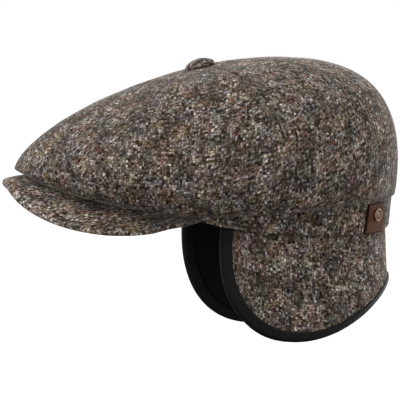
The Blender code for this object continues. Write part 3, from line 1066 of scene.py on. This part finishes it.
        def place(u: float, v: float, inner: bool) -> Vector:
            angle, row = across(u), v * all_rows
            point, inward = self.surface(angle, row), self.inward(angle, row)
            seam, on_top, pressed = hollows(angle, row)
            sunk = (self.seam_depth + self.seam_deeper_on_top * on_top) * seam + self.button_press * pressed
            calm = smooth_step(0, self.calm_rows_above, row)
            calm *= smooth_step(all_rows, all_rows - self.calm_rows_below, row)
            sunk -= sum(ripple(point, size, depth) for size, depth in self.waves) * calm
            if u in (0, 1):
                outward = self.rim(angle) - Vector((0, -self.button_forward, 0))
                side = Vector((-outward.y, outward.x, 0)).normalized()
                point += side * (1 if u == 0 else -1) * self.band.seam_gap * 0.05
                inward -= side * side.dot(inward)
            return point + inward * (sunk + (self.wall if inner else 0))

        name = f"crown_panel_{index + 1}"
        shift = self.cut_apart * (index + 1)
        wall = ClothWall(f"{name}_tweed", self.columns, all_rows, place, shift=shift, hollow=hollow)
        panel = dress(wall.build(), material, [name])
        low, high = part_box(name)
        size = (high - low).length
        flat = (size * self.cut_length, size * self.cut_width)
        as_sheet(panel, flat)
        return panel, self.columns * all_rows


@dataclass
class Peak:
    """The stiff peak under the crown's front, covered in tweed whose grain follows its edge."""

    band: Headband
    reach: float = 0.0690
    thickness: float = 0.0040
    half_angle: float = math.radians(66)
    corner_power: float = 2.45
    seat: float = 0.0004
    end_width: float = 0.0030
    left_lower: float = 0.0040
    drop: float = 0.0175
    arch: float = 0.0042
    arch_power: int = 4
    edge_thinning: float = 0.1
    edge_radius: float = 0.0015
    edge_rounded: float = 0.8
    edge_hangs: float = 0.0009
    edge_hangs_from: float = 0.5
    corner_hangs: float = 0.0014
    corner_at: float = 0.96
    corner_width: float = 0.03
    end_thinned: float = 0.0015
    end_thinned_from: float = 0.975
    wave_size: float = 0.03
    wave_depth: float = 0.00025
    denser_at_edge: float = 1.35
    columns: int = 150
    rows: int = 44
    edge: tuple = (
        # share, drop, arch
        (0.000, 0.20, 1.00),
        (0.125, 0.35, 1.00),
        (0.250, 0.60, 1.00),
        (0.375, 0.80, 0.95),
        (0.500, 0.95, 0.95),
        (0.625, 1.00, 0.90),
        (0.750, 0.95, 0.80),
        (0.875, 0.70, 0.60),
        (1.000, 0.10, 0.00),
    )

    def middle(self, share: float, v: float) -> Vector:
        """The middle of the peak's thickness, at shares from end to end and from seat to edge."""
        end = self.band.outline(self.half_angle, self.band.seam_gap + self.end_width)
        reach = self.band.length / 2 + self.reach + end.y
        power = 2 / self.corner_power
        turn = abs(share) * math.pi / 2
        drop, arch = table_row(self.edge, abs(share))
        seat = self.band.outline(share * self.half_angle, self.band.seam_gap)
        seat.z = self.band.bottom(share * self.half_angle) + self.seat + self.thickness / 2
        height = seat.z - drop * self.drop - self.left_lower * math.sin(math.pi * share)
        x = math.copysign(end.x * math.sin(turn) ** power, share)
        y = end.y - reach * max(math.cos(turn), 0) ** power
        point = seat.lerp(Vector((x, y, height)), v)
        point.z += arch * self.arch * (1 - (2 * v - 1) ** self.arch_power)
        return point

    def build(self, finish: TweedFinish) -> Ground:
        """Makes and dresses the peak.

        Returns:
            The peak with all its faces.
        """

        def place(u: float, v: float, inner: bool) -> Vector:
            share = 2 * u - 1
            v = 1 - (1 - v) ** self.denser_at_edge
            point = self.middle(share, v)
            to_edge = (self.middle(share, 1) - point).length
            half = self.thickness / 2 * (1 - self.edge_thinning * v * v)
            half -= rounded_edge(to_edge, self.edge_radius) * self.edge_rounded
            half += ripple(point, self.wave_size, self.wave_depth)
            thinned = self.end_thinned * smooth_step(self.end_thinned_from, 1.0, abs(share))
            point.z += thinned - half if inner else half
            point.z -= self.edge_hangs * smooth_step(self.edge_hangs_from, 1.0, v)
            point.z -= self.corner_hangs * hump(abs(share), self.corner_at, self.corner_width)
            return point

        peak = ClothWall("peak_tweed", self.columns, self.rows, place, rim=0.001).build()
        dress(peak, finish.material(), ["peak"])
        return peak, len(peak.data.polygons)


@dataclass
class EarFlap:
    """The flap round ears and neck: tweed outside, fleece inside, and a tape bound over the edge."""

    band: Headband
    start: float = math.radians(73.9)
    deepest: float = math.radians(107.2)
    deepest_share: float = 0.6
    depth: float = 0.0760
    depth_back: float = 0.0375
    corner_power: float = 2.38
    right_forward: float = math.radians(2.1)
    right_deeper: float = 0.018
    tuck: float = 0.0080
    flare_side: float = -0.015
    flare_back: float = 0.147
    flare_below: float = 0.0006
    tweed: float = 0.0020
    lining: float = 0.0025
    layer_gap: float = 0.0003
    tape_width: float = 0.0070
    tape_wider_at_corner: float = 0.0022
    tape_corner: float = 0.72
    tape_corner_width: float = 0.1
    tape_narrower_behind: float = 0.0018
    tape_behind: tuple = (0.2, 0.6)
    tape_wider_in_front: float = 0.0022
    tape_front: tuple = (0.72, 0.86)
    tape_further_in_front: float = 0.0013
    tape_further: tuple = (0.74, 0.90)
    tape_edge_radius: float = 0.0012
    tape_edge_pressed: float = 0.6
    tape_cut_longer: float = 1.25
    tape_wall: float = 0.0010
    tape_gap: float = 0.0004
    tape_bend_flattened: float = 0.8
    layers_inside_tape: float = 0.0033
    columns: int = 240
    rows: int = 56
    denser_above: float = 1.5
    shadow_height: float = 0.0013
    leg_rows: int = 5
    bend_rows: int = 12

    def offset(self, angle: float, height: float) -> float:
        """How far outward of the band's oval the outer face lies."""
        flare = mix(self.flare_side, self.flare_back, max(0, -math.cos(angle)) ** 2)
        return -self.tweed - self.layer_gap + flare * max(0, -height - self.flare_below)

    def _side_edge(self, s: float, right: bool) -> tuple[float, float]:
        """Angle and height on one side's edge, from the back at 0 to the front at 1."""
        if s > self.deepest_share:
            turn = (1 - s) / (1 - self.deepest_share) * math.pi / 2
            power = 2 / self.corner_power
            angle = self.deepest - (self.deepest - self.start) * math.cos(turn) ** power
            height = -self.depth * math.sin(turn) ** power
        else:
            rise = (1 + math.cos(math.pi * s / self.deepest_share)) / 2
            angle = mix(math.pi, self.deepest, s / self.deepest_share)
            height = -mix(self.depth, self.depth_back, rise)
        if right:
            angle -= self.right_forward * s * s
            height *= 1 + self.right_deeper * s * s
        return angle, height

    def edge(self, share: float, inset: float = 0.0) -> tuple[float, float]:
        """Angle and height on the edge, from the right front at -1 to the left front at 1."""
        s, right = abs(share), share < 0
        angle, height = self._side_edge(s, right)
        before = self._side_edge(max(s - SMALL_STEP, 0), right)
        after = self._side_edge(min(s + SMALL_STEP, 1), right)
        speed = self.band.speed(angle)
        along = Vector(((after[0] - before[0]) * speed, after[1] - before[1], 0)).normalized()
        angle += along.y * inset / speed
        height -= along.x * inset
        return (angle if share >= 0 else TURN - angle), height

    def point(self, angle: float, height: float, depth: float) -> Vector:
        """A point on the flap, at a depth inside its outer face."""
        made = self.band.outline(angle, self.offset(angle, height) - depth)
        made.z = self.band.bottom(angle) + height
        return made

    def build(self, tweed: TweedFinish, fleece: FleeceFinish, tape: TapeFinish) -> Ground:
        """Makes and dresses both layers and the tape.

        Returns:
            The tweed layer and its outer faces.
        """
        inside = self.tweed + self.layer_gap
        outside = self._layer("flap_cloth", "flap_tweed", 0, self.tweed, tweed)
        self._layer("flap_lining", "flap_fleece", inside, self.lining, fleece)
        self._tape(tape)
        return outside

    def _layer(
        self,
        node: str,
        name: str,
        depth: float,
        thickness: float,
        finish: Union[TweedFinish, FleeceFinish],
    ) -> Ground:
        """One layer, from its tuck inside the band down to just inside the tape."""
        right_end, left_end = (self.edge(end, self.layers_inside_tape)[0] for end in (-1, 1))

        def place(u: float, v: float, inner: bool) -> Vector:
            angle, height = at(u, v)
            return self.point(angle, height, depth + (thickness if inner else 0))

        def at(u: float, v: float) -> tuple[float, float]:
            edge_angle, edge_height = self.edge(2 * u - 1, self.layers_inside_tape)
            down = v**self.denser_above
            return mix(mix(right_end, left_end, u), edge_angle, down), mix(self.tuck, edge_height, down)

        # Painted shadow on the flap just below the band's lower edge.
        def hollow(u: float, v: float) -> float:
            angle, height = at(u, v)
            below_hem = height + self.band.hem(angle)
            return hump(below_hem, -self.shadow_height / 3, self.shadow_height)

        layer = ClothWall(name, self.columns, self.rows, place, rim=thickness, hollow=hollow).build()
        dress(layer, finish.material(), [node])
        length = (math.pi - self.start) * 2 * self.band.speed(math.pi)
        as_sheet(layer, (length, self.depth + self.tuck))
        return layer, self.columns * self.rows

    def _tape(self, finish: TapeFinish) -> None:
        """The folded tape: a U in section that holds the edges of both layers."""
        layers = self.tweed + self.layer_gap + self.lining
        slot = layers / 2 + self.tape_gap
        rows = 2 * self.leg_rows + self.bend_rows

        def section(share: float, v: float, inner: bool) -> tuple[float, float]:
            corner = hump(share, self.tape_corner, self.tape_corner_width)
            width = self.tape_width + self.tape_wider_at_corner * corner
            width -= self.tape_narrower_behind * (1 - smooth_step(*self.tape_behind, share))
            width += self.tape_wider_in_front * smooth_step(*self.tape_front, share)
            half = slot if inner else slot + self.tape_wall
            low = self.tape_wall if inner else 0
            bend = half * self.tape_bend_flattened
            row = v * rows
            if self.leg_rows <= row <= self.leg_rows + self.bend_rows:
                turn = (row - self.leg_rows) / self.bend_rows * math.pi
                return half * math.cos(turn), low + bend * (1 - math.sin(turn))
            past = self.leg_rows - row if row < self.leg_rows else row - self.leg_rows - self.bend_rows
            leg = past / self.leg_rows
            pressed = 0 if inner else self.tape_edge_pressed
            pressed *= rounded_edge((1 - leg) * width, self.tape_edge_radius)
            return math.copysign(half - pressed, self.leg_rows - row), mix(low + bend, width, leg)

        def place(u: float, v: float, inner: bool) -> Vector:
            share = abs(2 * u - 1)
            outward, inward = section(share, v, inner)
            further = self.tape_further_in_front * smooth_step(*self.tape_further, 2 * u - 1)
            angle, height = self.edge(2 * u - 1, inward - further)
            if u in (0, 1):
                height = -self.layer_gap
            return self.point(angle, height, layers / 2 - outward)

        tape = ClothWall("flap_binding_tape", self.columns, rows, place, rim=self.tape_wall).build()
        dress(tape, finish.material(), ["flap_binding"])
        length = 2 * (math.pi - self.start) * self.band.speed(math.pi) * self.tape_cut_longer
        width = 2 * (self.tape_width + self.tape_wider_in_front) + slot
        as_sheet(tape, (length, width))


@dataclass
class LeatherTab:
    """The leather tab across the band, left of the back, with its rivet."""

    band: Headband
    angle: float = math.radians(143.6)
    width: float = 0.0238
    narrower_above: float = 0.0032
    thickness: float = 0.0016
    layer_gap: float = 0.0003
    below_band: float = 0.0010
    below_top: float = 0.0034
    rivet_up: float = 0.61
    rivet_diameter: float = 0.0092
    rivet_dome: float = 0.0012
    rivet_steps: int = 56
    shank_radius: float = 0.0016
    shank_share: float = 0.8
    press_depth: float = 0.00022
    press_reach: float = 0.75
    edge_radius: float = 0.0005
    columns: int = 54
    rows: int = 48
    rivet_head: tuple = (
        # radius, height, brightness
        (0.00, 0.70, 0.5),
        (0.30, 0.68, 0.5),
        (0.52, 0.60, 0.4),
        (0.66, 0.42, 0.1),
        (0.73, 0.42, 0.1),
        (0.79, 0.86, 0.8),
        (0.85, 1.00, 1.0),
        (0.92, 0.94, 1.0),
        (0.98, 0.60, 0.7),
        (1.00, 0.30, 0.2),
        (0.97, 0.00, 0.0),
    )

    def _height(self, v: float, angle: float) -> float:
        """Height at a share up the tab."""
        bottom, top = self.band.bottom(angle), self.band.top(angle)
        return mix(bottom - self.below_band, top - self.below_top, v)

    def build(self, leather: LeatherFinish, metal: MetalFinish) -> None:
        """Makes and dresses the tab and the rivet."""
        tall = self._height(1, self.angle) - self._height(0, self.angle)

        def place(u: float, v: float, inner: bool) -> Vector:
            width = self.width - self.narrower_above * v
            angle = self.angle + (u - 0.5) * width / self.band.speed(self.angle)
            edge = min(min(u, 1 - u) * width, min(v, 1 - v) * tall)
            back = rounded_edge(edge, self.edge_radius)
            from_rivet = Vector(((u - 0.5) * self.width, (v - self.rivet_up) * tall)).length
            beside_rivet = (from_rivet / (self.press_reach * self.rivet_diameter)) ** 4
            pressed = self.press_depth * math.exp(-beside_rivet)
            face = 0 if inner else self.thickness - back - pressed
            point = self.band.outline(angle, self.layer_gap + face)
            point.z = self._height(v, angle)
            return point

        tab = ClothWall("leather_tab_hide", self.columns, self.rows, place).build()
        self._mark_edges(tab, tall)
        dress(tab, leather.material(), ["leather_tab"])
        self._rivet(metal)

    def _mark_edges(self, tab: bpy.types.Object, tall: float) -> None:
        """Stores each point's distance to the tab's cut edges, in metres."""
        layer = tab.data.uv_layers[CLOTH_UV].data
        marks = tab.data.attributes.new(EDGE_WEAR, "FLOAT", "POINT")
        for loop in tab.data.loops:
            u, v = layer[loop.index].uv
            half = (self.width - self.narrower_above * v / tall) / 2
            marks.data[loop.vertex_index].value = max(min(half - abs(u), v, tall - v), 0.0)

    def _rivet(self, metal: MetalFinish) -> None:
        """The rivet: a turned head with a raised rim, and a short shank."""
        radius, foot = self.rivet_diameter / 2, -self.thickness * self.shank_share
        profile = [(radius * r, self.layer_gap + self.rivet_dome * h) for r, h, _ in self.rivet_head]
        profile += [(self.shank_radius, self.layer_gap), (self.shank_radius, foot), (0.0, foot)]
        bm = turned(profile, self.rivet_steps, [brightness for _, _, brightness in self.rivet_head])
        up = Vector((0, 0, 1))
        out = (self.band.outline(self.angle, 1) - self.band.outline(self.angle)).normalized()
        seat = self.band.outline(self.angle, self.layer_gap + self.thickness)
        seat.z = self._height(self.rivet_up, self.angle)
        frame = frame_at(seat, up.cross(out), up, out)
        bmesh.ops.transform(bm, matrix=frame, verts=bm.verts[:])
        dress(mesh_object("tab_rivet_bronze", bm), metal.material(), ["tab_rivet"])


@dataclass
class TopButton:
    """The cloth-covered button where the panels meet."""

    crown: Crown
    diameter: float = 0.0214
    height: float = 0.0072
    shank_radius: float = 0.0020
    shank_length: float = 0.0040
    lift: float = -0.0018
    further_back: float = 0.0008
    leans_forward: float = 0.07
    steps: int = 72
    shadow_below: float = 0.40
    shadow_full: float = 0.24
    wraps_below: float = 0.5
    pleats: int = 16
    pleat_depth: float = 0.012
    pleats_from: float = 0.75
    wave_size: float = 0.006
    wave_depth: float = 0.02
    head: tuple = (
        # radius, height
        (0.00, 1.00),
        (0.10, 0.998),
        (0.20, 0.985),
        (0.30, 0.965),
        (0.40, 0.935),
        (0.50, 0.89),
        (0.60, 0.83),
        (0.70, 0.76),
        (0.80, 0.68),
        (0.88, 0.60),
        (0.94, 0.50),
        (0.985, 0.34),
        (1.00, 0.22),
        (0.985, 0.11),
        (0.94, 0.035),
        (0.86, 0.00),
    )

    def build(self, finish: TweedFinish) -> Ground:
        """Makes and dresses the button.

        Returns:
            The button with all its faces.
        """
        profile = [(self.diameter / 2 * r, self.height * h) for r, h in self.head]
        shank = (self.shank_radius, 0.0), (self.shank_radius, -self.shank_length), (0.0, -self.shank_length)
        bm = turned([*profile, *shank], self.steps)
        self._wrap(bm)
        up = Vector((0, -self.crown.slope_at_button - self.leans_forward, 1)).normalized()
        side = up.cross(Vector((1, 0, 0))).normalized()
        seat = Vector((0, -self.crown.button_forward, self.crown.height))
        seat += up * self.lift + side * self.further_back
        bmesh.ops.transform(bm, matrix=frame_at(seat, side.cross(up), side, up), verts=bm.verts[:])
        button = mesh_object("top_button_tweed", bm)
        dress(button, finish.material(), ["top_button"])
        return button, len(button.data.polygons)

    def _wrap(self, bm: bmesh.types.BMesh) -> None:
        """Maps the cloth over the button, marks the shadow below it and pleats its side."""
        layer = bm.loops.layers.uv.new(CLOTH_UV)
        depth = bm.verts.layers.float.new(PAINTED_SHADING)
        # Painted shadow: the button's lower side is stored as shade for the tweed's colour.
        below, full = self.height * self.shadow_below, self.height * self.shadow_full
        for vert in bm.verts:
            vert[depth] = smooth_step(below, full, vert.co.z)
        for face in bm.faces:
            for loop in face.loops:
                x, y, z = loop.vert.co
                radius = math.hypot(x, y)
                down = max(self.height * self.wraps_below - z, 0)
                spread = (radius + down) / max(radius, SMALL_STEP / 10)
                loop[layer].uv = (x * spread, y * spread)
        for vert in bm.verts:
            if vert.co.z > 0:
                radius = math.hypot(vert.co.x, vert.co.y)
                pleat = math.cos(self.pleats * math.atan2(vert.co.y, vert.co.x))
                fade = smooth_step(self.pleats_from, 1.0, radius / (self.diameter / 2))
                wave = ripple(vert.co, self.wave_size, self.wave_depth)
                vert.co *= 1 + self.pleat_depth * pleat * fade + wave


@dataclass
class Studio:
    """A pale floor, soft lights and the photograph's camera."""

    azimuth: float = math.radians(80.24)
    elevation: float = math.radians(2.45)
    roll: float = math.radians(5.9)
    distance: float = 2.6
    seen_width: float = 0.2844
    look_at: Vector = field(default_factory=lambda: Vector((-0.0060, -0.03131, 0.00473)))
    floor_height: float = -1.0
    floor_radius: float = 40.0
    light_size: float = 1.2
    lights: tuple = (
        # name, place, power
        ("top", (0.0, 0.0, 1.5), 6.0),
        ("front", (0.2, -1.4, 0.7), 15.0),
        ("back", (-0.8, 1.35, 0.5), 16.0),
        ("side", (1.6, -0.2, -0.1), 2.5),
        ("low_behind", (0.9, 1.2, -0.6), 3.2),
        ("far_side", (-1.5, 0.0, 0.5), 5.0),
    )
    fade_from: float = -0.2
    fade_to: float = -0.07
    light_from_below: float = 0.16

    def build(self) -> None:
        """Makes the stage, lights and camera."""
        self._floor()
        self._world()
        for name, place, power in self.lights:
            self._light(name, place, power)
        self._camera()
        bpy.context.scene.view_settings.view_transform = "Standard"

    def _floor(self) -> None:
        """A wide pale floor below the cap."""
        bm = bmesh.new()
        bmesh.ops.create_circle(bm, cap_ends=True, segments=64, radius=self.floor_radius)
        bmesh.ops.translate(bm, verts=bm.verts[:], vec=(0, 0, self.floor_height))
        floor = mesh_object("floor", bm)
        graph = Graph("pale_floor")
        graph.principled(base_color=(0.2, 0.2, 0.2), roughness=1.0, specular_ior_level=0.0)
        graph.principled(emission_color=(1.0, 1.0, 1.0), emission_strength=0.95)
        floor.data.materials.append(graph.material)
        floor.visible_diffuse = False
        floor.visible_glossy = False

    def _world(self) -> None:
        """A white surround that fades below the horizon to the little light from a pale floor."""
        world = bpy.data.worlds.new("studio")
        bpy.context.scene.world = world
        world.use_nodes = True
        tree = world.node_tree
        direction = tree.nodes.new("ShaderNodeTexCoord")
        apart = tree.nodes.new("ShaderNodeSeparateXYZ")
        fade = tree.nodes.new("ShaderNodeMapRange")
        tree.links.new(direction.outputs["Generated"], apart.inputs[0])
        tree.links.new(apart.outputs["Z"], fade.inputs["Value"])
        fade.inputs["From Min"].default_value = self.fade_from
        fade.inputs["From Max"].default_value = self.fade_to
        fade.inputs["To Min"].default_value = self.light_from_below
        tree.links.new(fade.outputs[0], tree.nodes["Background"].inputs["Color"])

    def _light(self, name: str, place: Sequence[float], power: float) -> None:
        """A square soft light that faces the cap."""
        data = bpy.data.lights.new(name, "AREA")
        data.size = self.light_size
        data.energy = power
        light = bpy.data.objects.new(name, data)
        light.location = place
        light.rotation_euler = (-Vector(place)).to_track_quat("-Z", "Y").to_euler()
        bpy.context.scene.collection.objects.link(light)

    def _camera(self) -> None:
        """The photograph's camera, a little rolled."""
        data = bpy.data.cameras.new("photograph")
        data.sensor_width = 36.0
        data.lens = data.sensor_width * self.distance / self.seen_width
        data.clip_start, data.clip_end = 0.1, 100.0
        camera = bpy.data.objects.new("photograph", data)
        a, e = self.azimuth, self.elevation
        back = Vector((math.sin(a) * math.cos(e), -math.cos(a) * math.cos(e), math.sin(e)))
        right = Vector((math.cos(a), math.sin(a), 0))
        up = back.cross(right)
        turned_right = right * math.cos(self.roll) + up * math.sin(self.roll)
        turned_up = up * math.cos(self.roll) - right * math.sin(self.roll)
        seat = self.look_at + back * self.distance
        camera.matrix_world = frame_at(seat, turned_right, turned_up, back)
        bpy.context.scene.collection.objects.link(camera)
        bpy.context.scene.camera = camera


def main() -> None:
    """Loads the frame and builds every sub-assembly in order."""
    logging.basicConfig(level=logging.INFO, format="%(message)s")
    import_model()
    band = Headband()
    crown = Crown(band)
    # Each piece takes its own copy of the tweed; the band, peak and flap are made lighter than the crown:
    # painted light.
    panels = crown.build(TweedFinish("crown_tweed_cloth"))
    button = TopButton(crown).build(TweedFinish("button_tweed_cloth"))
    headband = band.build(TweedFinish("band_tweed_cloth", brightness=1.22))
    peak = Peak(band).build(TweedFinish("peak_tweed_cloth", brightness=1.16, grain_along_u=True))
    flap_tweed = TweedFinish("flap_tweed_cloth", brightness=1.02)
    flap = EarFlap(band).build(flap_tweed, FleeceFinish(), TapeFinish())
    LeatherTab(band).build(LeatherFinish(), MetalFinish())
    loose = LooseWool(LooseWoolFinish().material())
    loose.grow("crown_loose_wool", [*panels, button])
    loose.grow("band_loose_wool", [headband])
    loose.grow("peak_loose_wool", [peak])
    loose.grow("flap_loose_wool", [flap])
    Studio().build()


if __name__ == "__main__":
    main()
